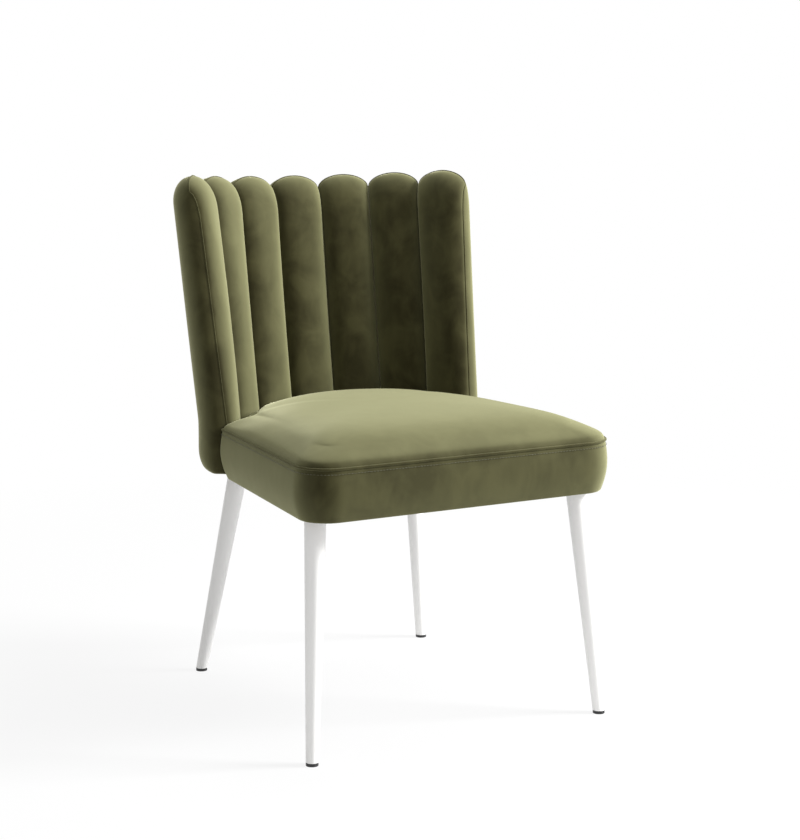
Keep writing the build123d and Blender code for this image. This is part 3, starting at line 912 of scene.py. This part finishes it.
def seat_rows(slack):
    """Closed rows of the seat from the board up to the crown's inner ring."""
    size = sizes()
    bulge = size.boxing_bulge - slack * 0.6
    crown = size.seat_crown - slack
    floor = BOARD_TOP + 0.0004
    rows = []

    def band(height, inset):
        plan = seat_plan(boxing_grow(height, bulge), inset)
        points = []
        for index, point in enumerate(plan):
            low = floor + (height - floor) * hem_lift(index)
            points.append(placed(point, max(height, low) if height < floor else height))
        return points

    rows.append(band(floor, SKIRT))
    rows.append(band(HEM_HEIGHT + 0.004, SKIRT))
    rows.append(band(HEM_HEIGHT + 0.0008, SKIRT * 0.85))
    rows.append(band(HEM_HEIGHT, SKIRT * 0.45))
    for row in range(BOXING_ROWS + 1):
        share = row / BOXING_ROWS
        height = HEM_HEIGHT + 0.0012 + (SEAT_SEAM - HEM_HEIGHT - 0.0012) * share
        rows.append(band(height, 0.0))
    plan = seat_plan(0.0)
    for shrink in CROWN_STEPS:
        height = SEAT_SEAM + crown * round_off(shrink, CROWN_FULLNESS)
        rows.append([placed(point, height, shrink) for point in plan])
    return rows, crown


def crown_patch(form, ring, crown):
    """Fills the crown's inner ring with a grid of four-sided faces."""
    count = len(ring)
    front_side = FRONT_POINTS + CORNER_POINTS
    start = RIGHT_SIDE_START + SIDE_POINTS + CORNER_POINTS // 2
    side = (count - 2 * front_side) // 2
    order = [ring[(start + i) % count] for i in range(count)]
    front = order[:front_side + 1]
    left = order[front_side:front_side + side + 1]
    rear = order[front_side + side:2 * front_side + side + 1][::-1]
    right = (order[2 * front_side + side:] + order[:1])[::-1]
    plan = [(point.x, point.y) for point in seat_plan(0.0)]
    limits = sorted(
        (math.atan2(y - SEAT_MIDDLE, x), math.hypot(x, y - SEAT_MIDDLE)) for x, y in plan)

    def reach_at(angle):
        for (low, near), (high, far) in zip(limits, limits[1:]):
            if low <= angle <= high:
                share = (angle - low) / max(1e-9, high - low)
                return near + (far - near) * share
        return limits[0][1]

    grid = []
    for i in range(side + 1):
        v = i / side
        row = []
        for j in range(front_side + 1):
            if i == 0:
                row.append(front[j])
            elif i == side:
                row.append(rear[j])
            elif j == 0:
                row.append(right[i])
            elif j == front_side:
                row.append(left[i])
            else:
                u = j / front_side
                point = front[j].co * (1 - v) + rear[j].co * v
                point += right[i].co * (1 - u) + left[i].co * u
                point -= (front[0].co * (1 - u) + front[-1].co * u) * (1 - v)
                point -= (rear[0].co * (1 - u) + rear[-1].co * u) * v
                across = point.y - SHIFT - SEAT_MIDDLE
                share = math.hypot(point.x, across) / reach_at(math.atan2(across, point.x))
                point.z = SEAT_SEAM + crown * round_off(share, CROWN_FULLNESS)
                row.append(form.verts.new(point))
        grid.append(row)
    for below, above in zip(grid, grid[1:]):
        for j in range(front_side):
            form.faces.new((below[j], below[j + 1], above[j + 1], above[j]))


def ease_corners(mesh):
    """Evens the crown beside the two inner corners at the wings."""
    inner = placed(seat_plan(0.0)[0], SEAT_SEAM)
    heights = [vertex.co.z for vertex in mesh.vertices]
    held = {i for i, height in enumerate(heights) if height <= SEAT_SEAM + 1e-5}
    even = even_out(mesh, heights, held, CORNER_ROUNDS)
    for vertex, height in zip(mesh.vertices, even):
        away = math.hypot(abs(vertex.co.x) - inner.x, vertex.co.y - inner.y)
        share = max(0.0, 1 - away / CORNER_REACH)
        vertex.co.z += (height - vertex.co.z) * share * share * (3 - 2 * share)


class CHAIR_OT_seat_cushion(bpy.types.Operator):
    """Sews and fills the seat: crowned top, boxing band and hem"""

    bl_idname = "chair.seat_cushion"
    bl_label = "Seat cushion"

    def execute(self, context):
        slack = SEAT_SLACK
        rows, crown = seat_rows(slack)
        form = bmesh.new()
        made = rows_to_form(form, rows)
        form.faces.new(list(reversed(made[0])))
        crown_patch(form, made[-1], crown)
        piece = new_piece("seat_cushion", form_to_mesh(form, "seat_cushion"),
                          finish_of(velvet_finish))
        ease_corners(piece.data)
        seam = rows[4 + BOXING_ROWS]
        sewn = rows[0] + rows[1] + rows[2] + rows[3] + rows[4] + seam
        rear = [i for i in range(len(seam))
                if i < RIGHT_SIDE_START or i > LEFT_SIDE_END]
        for row in rows[5:4 + BOXING_ROWS]:
            sewn += [row[i] for i in rear]
        swell(piece, nearest_vertices(piece.data, sewn), 4.0, SEAT_SLACK * 1.6, 50)
        soften(piece)
        hand_over(piece, (
            "seat_top_cover", "seat_foam_topper", "seat_boxing", "seat_foam_core"))
        return {"FINISHED"}


# Seams and stitches, grown along paths by node trees


def new_tree(name, inputs):
    """A geometry tree with named inputs, and its input and output nodes."""
    tree = bpy.data.node_groups.new(name, "GeometryNodeTree")
    tree.interface.new_socket("Geometry", in_out="INPUT", socket_type="NodeSocketGeometry")
    for label, kind in inputs:
        tree.interface.new_socket(label, in_out="INPUT", socket_type=kind)
    tree.interface.new_socket("Geometry", in_out="OUTPUT", socket_type="NodeSocketGeometry")
    return tree, tree.nodes.new("NodeGroupInput"), tree.nodes.new("NodeGroupOutput")


def tree_node(tree, kind, settings=None, sockets=None):
    """Adds a node to a geometry tree with its settings and its sockets' values or links."""
    node = tree.nodes.new(kind)
    for name, setting in (settings or {}).items():
        setattr(node, name, setting)
    for key, value in (sockets or {}).items():
        if isinstance(value, bpy.types.NodeSocket):
            tree.links.new(value, node.inputs[key])
        else:
            node.inputs[key].default_value = value
    return node


def end_tree(tree, geometry, given, last):
    """Ends a tree in realised, smooth geometry that wears its material."""
    real = tree_node(tree, "GeometryNodeRealizeInstances", sockets={0: geometry})
    smooth = tree_node(tree, "GeometryNodeSetShadeSmooth", sockets={"Geometry": real.outputs[0]})
    worn = tree_node(tree, "GeometryNodeSetMaterial", sockets={
        "Geometry": smooth.outputs[0], "Material": given.outputs["Material"]})
    tree.links.new(worn.outputs[0], last.inputs[0])


def cord_tree():
    """A round ridge along a path."""
    tree, given, last = new_tree("seam_ridge", [
        ("Diameter", "NodeSocketFloat"), ("Material", "NodeSocketMaterial")])
    radius = tree_node(tree, "ShaderNodeMath", {"operation": "MULTIPLY"}, {
        0: given.outputs["Diameter"], 1: 0.5})
    path = tree_node(tree, "GeometryNodeMeshToCurve", sockets={"Mesh": given.outputs[0]})
    even = tree_node(tree, "GeometryNodeResampleCurve", {"mode": "LENGTH"}, {
        "Curve": path.outputs[0], "Length": 0.004})
    circle = tree_node(tree, "GeometryNodeCurvePrimitiveCircle", {"mode": "RADIUS"}, {
        "Resolution": 10, "Radius": radius.outputs[0]})
    tube = tree_node(tree, "GeometryNodeCurveToMesh", sockets={
        "Curve": even.outputs[0], "Profile Curve": circle.outputs[0], "Fill Caps": True})
    end_tree(tree, tube.outputs[0], given, last)
    return tree


def stitch_tree():
    """Stitches laid end to end along a path."""
    tree, given, last = new_tree("stitch_row", [
        ("Spacing", "NodeSocketFloat"), ("Length", "NodeSocketFloat"),
        ("Diameter", "NodeSocketFloat"), ("Material", "NodeSocketMaterial")])
    path = tree_node(tree, "GeometryNodeMeshToCurve", sockets={"Mesh": given.outputs[0]})
    points = tree_node(tree, "GeometryNodeCurveToPoints", {"mode": "LENGTH"}, {
        "Curve": path.outputs[0], "Length": given.outputs["Spacing"]})
    bead = tree_node(tree, "GeometryNodeMeshUVSphere", sockets={
        "Segments": 6, "Rings": 5, "Radius": 0.5})
    scale = tree_node(tree, "ShaderNodeCombineXYZ", sockets={
        0: given.outputs["Diameter"], 1: given.outputs["Diameter"],
        2: given.outputs["Length"]})
    laid = tree_node(tree, "GeometryNodeInstanceOnPoints", sockets={
        "Points": points.outputs["Points"], "Instance": bead.outputs[0],
        "Rotation": points.outputs["Rotation"], "Scale": scale.outputs[0]})
    end_tree(tree, laid.outputs[0], given, last)
    return tree


def grow_piece(name, path, tree, values, closed=False):
    """Runs a tree along a path and keeps the result as a plain mesh."""
    edges = [(i, i + 1) for i in range(len(path) - 1)]
    if closed:
        edges.append((len(path) - 1, 0))
    line = bpy.data.meshes.new(name + "_path")
    line.from_pydata([tuple(point) for point in path], edges, [])
    holder = bpy.data.objects.new(name + "_path", line)
    bpy.context.scene.collection.objects.link(holder)
    modifier = holder.modifiers.new("Along", "NODES")
    modifier.node_group = tree
    for item in tree.interface.items_tree:
        if item.item_type == "SOCKET" and item.in_out == "INPUT" and item.name in values:
            modifier[item.identifier] = values[item.name]
    evaluated = holder.evaluated_get(bpy.context.evaluated_depsgraph_get())
    mesh = bpy.data.meshes.new_from_object(evaluated)
    if not mesh.polygons:
        raise RuntimeError(f"the tree {tree.name} gave no faces for {name}")
    bpy.data.objects.remove(holder)
    bpy.data.meshes.remove(line)
    mesh.name = name
    return new_piece(name, mesh, values["Material"])


def seat_seam_path(height, stand_out):
    """Path round the seat's sides and front at a height on the band."""
    bulge = sizes().boxing_bulge
    plan = seat_plan(boxing_grow(height, bulge) + stand_out)
    first = RIGHT_SIDE_START - 2
    last = LEFT_SIDE_END + 2
    return [placed(point, height) for point in plan[first:last + 1]]


def back_seam_path(stand_out):
    """Path up one wing front, over the scalloped top and down the other wing front."""
    size = sizes()
    end = HALF + along(CHANNEL_GAP * 0.5)
    rise = []
    for step in range(60):
        share = step / 59
        spring = lobe_top(HALF) - size.lobe_dome
        rise.append(back_point(SEAM_HEIGHT + (spring - SEAM_HEIGHT) * share, end,
                               -WING_RETURN - 0.0008 - stand_out))
    for step in range(1, DOME_ROWS):
        turn = math.pi / 2 * step / DOME_ROWS
        offset = size.crest_seam - (size.crest_seam + WING_RETURN + 0.0008) * math.cos(turn)
        height = lobe_top(HALF) - size.lobe_dome * (1 - math.sin(turn))
        rise.append(back_point(height + stand_out * math.sin(turn), end,
                               offset - stand_out * math.cos(turn)))
    crest = []
    for step in range(-140, 141):
        place = HALF * step / 140
        crest.append(back_point(lobe_top(place) + stand_out, place, size.crest_seam))
    left = [Vector((-point.x, point.y, point.z)) for point in rise]
    return left + crest + list(reversed(rise))


class CHAIR_OT_seams(bpy.types.Operator):
    """Lays the seam ridges round the seat and the back"""

    bl_idname = "chair.seams"
    bl_label = "Seam ridges"

    def execute(self, context):
        size = sizes()
        velvet = finish_of(seam_velvet_finish)
        tree = cord_tree()
        welt = grow_piece("seat_seam_ridge", seat_seam_path(SEAT_SEAM, 0.0006), tree, {
            "Diameter": size.welt_diameter, "Material": velvet})
        hand_over(welt, ("seat_welt",))
        ridge = grow_piece("back_seam_ridge", back_seam_path(0.0002), tree, {
            "Diameter": size.back_seam_diameter, "Material": velvet})
        hand_over(ridge, ("wing_welts",))
        return {"FINISHED"}


class CHAIR_OT_stitches(bpy.types.Operator):
    """Sews the stitch line on the band below the seat seam"""

    bl_idname = "chair.stitches"
    bl_label = "Boxing stitches"

    def execute(self, context):
        size = sizes()
        path = seat_seam_path(SEAT_SEAM - size.stitch_drop, 0.0002)
        row = grow_piece("boxing_stitches", path, stitch_tree(), {
            "Spacing": size.stitch_spacing, "Length": size.stitch_length,
            "Diameter": size.stitch_diameter, "Material": finish_of(thread_finish)})
        hand_over(row)
        return {"FINISHED"}


LEG_CORNERS = [f"{end}_{side}" for end in ("front", "rear") for side in ("left", "right")]


class CHAIR_OT_legs(bpy.types.Operator):
    """Finishes the legs, their plates, screws and glides"""

    bl_idname = "chair.legs"
    bl_label = "Legs and glides"

    def execute(self, context):
        paint_nodes([f"{corner}_leg" for corner in LEG_CORNERS], powder_coat_finish)
        paint_nodes([f"{corner}_leg_plate" for corner in LEG_CORNERS], powder_coat_finish)
        paint_nodes([f"{corner}_glide" for corner in LEG_CORNERS], moulded_plastic_finish)
        paint_nodes(["leg_screws"], zinc_finish)
        return {"FINISHED"}


class CHAIR_OT_inner_frame(bpy.types.Operator):
    """Finishes the board, shell, rail, dust cover and inner screws"""

    bl_idname = "chair.inner_frame"
    bl_label = "Inner frame"

    def execute(self, context):
        paint_nodes(["base_board", "back_shell"], plywood_finish)
        paint_nodes(["back_rail"], beech_finish)
        paint_nodes(["dust_cover"], dust_cloth_finish)
        paint_nodes(["rail_screws", "shell_screws"], zinc_finish)
        return {"FINISHED"}


def add_lamp(name, place, aim, size, power, tint=(1.0, 1.0, 1.0)):
    lamp = bpy.data.lights.new(name, "AREA")
    lamp.shape = "SQUARE"
    lamp.size = size
    lamp.energy = power
    lamp.color = tint
    holder = bpy.data.objects.new(name, lamp)
    holder.location = place
    holder.rotation_euler = (Vector(aim) - Vector(place)).to_track_quat("-Z", "Y").to_euler()
    bpy.context.scene.collection.objects.link(holder)
    return holder


def seen_directly(sheet):
    """1 for rays that show the stage itself, straight or mirrored."""
    path = sheet.add("ShaderNodeLightPath")
    glossy = Value(sheet, path.socket.node.outputs["Is Glossy Ray"])
    through = Value(sheet, path.socket.node.outputs["Is Transmission Ray"])
    total = path + glossy + through
    total.socket.node.use_clamp = True
    return total


class CHAIR_OT_stage(bpy.types.Operator):
    """Sets the camera, floor, backdrop and soft studio light"""

    bl_idname = "chair.stage"
    bl_label = "Studio"

    def execute(self, context):
        scene = context.scene
        scene.view_settings.view_transform = "Standard"

        lens = bpy.data.cameras.new("photo_camera")
        lens.lens = CAMERA_LENS
        lens.sensor_width = 36.0
        camera = bpy.data.objects.new("photo_camera", lens)
        camera.location = CAMERA_PLACE
        aim = CAMERA_AIM - CAMERA_PLACE
        camera.rotation_euler = aim.to_track_quat("-Z", "Y").to_euler()
        scene.collection.objects.link(camera)
        scene.camera = camera

        form = bmesh.new()
        bmesh.ops.create_grid(form, x_segments=4, y_segments=4, size=12.0)
        mesh = bpy.data.meshes.new("studio_floor")
        form.to_mesh(mesh)
        form.free()
        sheet = Sheet("studio_floor")
        shade = sheet.noise(0.8, detail=1.0)
        dim = Vector(colours().floor) * 0.98
        matt = sheet.add("ShaderNodeBsdfDiffuse", sockets={
            "Color": sheet.mix(shade, dim, colours().floor)})
        glow = sheet.add("ShaderNodeEmission", sockets={"Color": (1, 1, 1, 1), "Strength": 1.0})
        away = sheet.add("ShaderNodeVectorMath", {"operation": "LENGTH"}, {
            0: sheet.coordinates()}, output=1)
        fade = sheet.steps(away * 0.5, [(0.28, 0.0), (0.95, 1.0)])
        bare = 0.85 + fade * 0.15
        both = sheet.add("ShaderNodeMixShader", sockets={
            0: seen_directly(sheet) * bare, 1: matt, 2: glow})
        sheet.add("ShaderNodeOutputMaterial", sockets={0: both})
        floor = new_piece("studio_floor", mesh, sheet.material)

        world = bpy.data.worlds.new("studio_white")
        scene.world = world
        air = Sheet("studio_white", world)
        soft = air.add("ShaderNodeBackground", sockets={"Color": (1, 1, 1, 1), "Strength": 0.49})
        white = air.add("ShaderNodeBackground", sockets={"Color": (1, 1, 1, 1), "Strength": 1.0})
        either = air.add("ShaderNodeMixShader", sockets={
            0: seen_directly(air), 1: soft, 2: white})
        air.add("ShaderNodeOutputWorld", sockets={0: either})

        add_lamp("key_window", (2.35, -1.35, 2.0), (0.0, 0.0, 0.5), 0.9, 165.0)
        add_lamp("top_soft", (0.6, 0.5, 2.8), (0.0, 0.0, 0.4), 1.6, 26.0)
        return {"FINISHED"}


class CHAIR_PT_panel(bpy.types.Panel):
    """Lists the chair's pieces and their sizes and colours"""

    bl_idname = "CHAIR_PT_panel"
    bl_label = "Chair"
    bl_space_type = "VIEW_3D"
    bl_region_type = "UI"
    bl_category = "Chair"

    def draw(self, context):
        column = self.layout.column(align=True)
        for operator in OPERATORS:
            column.operator(operator.bl_idname)
        for group in (context.scene.chair_sizes, context.scene.chair_colours):
            column = self.layout.column(align=True)
            for name in group.__annotations__:
                column.prop(group, name)


OPERATORS = (
    CHAIR_OT_stage,
    CHAIR_OT_legs,
    CHAIR_OT_inner_frame,
    CHAIR_OT_seat_cushion,
    CHAIR_OT_outer_back,
    CHAIR_OT_back_channels,
    CHAIR_OT_seams,
    CHAIR_OT_stitches,
)
CLASSES = (ChairSizes, ChairColours) + OPERATORS + (CHAIR_PT_panel,)


def register():
    for item in CLASSES:
        bpy.utils.register_class(item)
    bpy.types.Scene.chair_sizes = PointerProperty(type=ChairSizes)
    bpy.types.Scene.chair_colours = PointerProperty(type=ChairColours)


def unregister():
    del bpy.types.Scene.chair_colours
    del bpy.types.Scene.chair_sizes
    for item in reversed(CLASSES):
        bpy.utils.unregister_class(item)


def main():
    register()
    for operator in OPERATORS:
        group, action = operator.bl_idname.split(".")
        getattr(getattr(bpy.ops, group), action)()


if __name__ == "__main__":
    main()
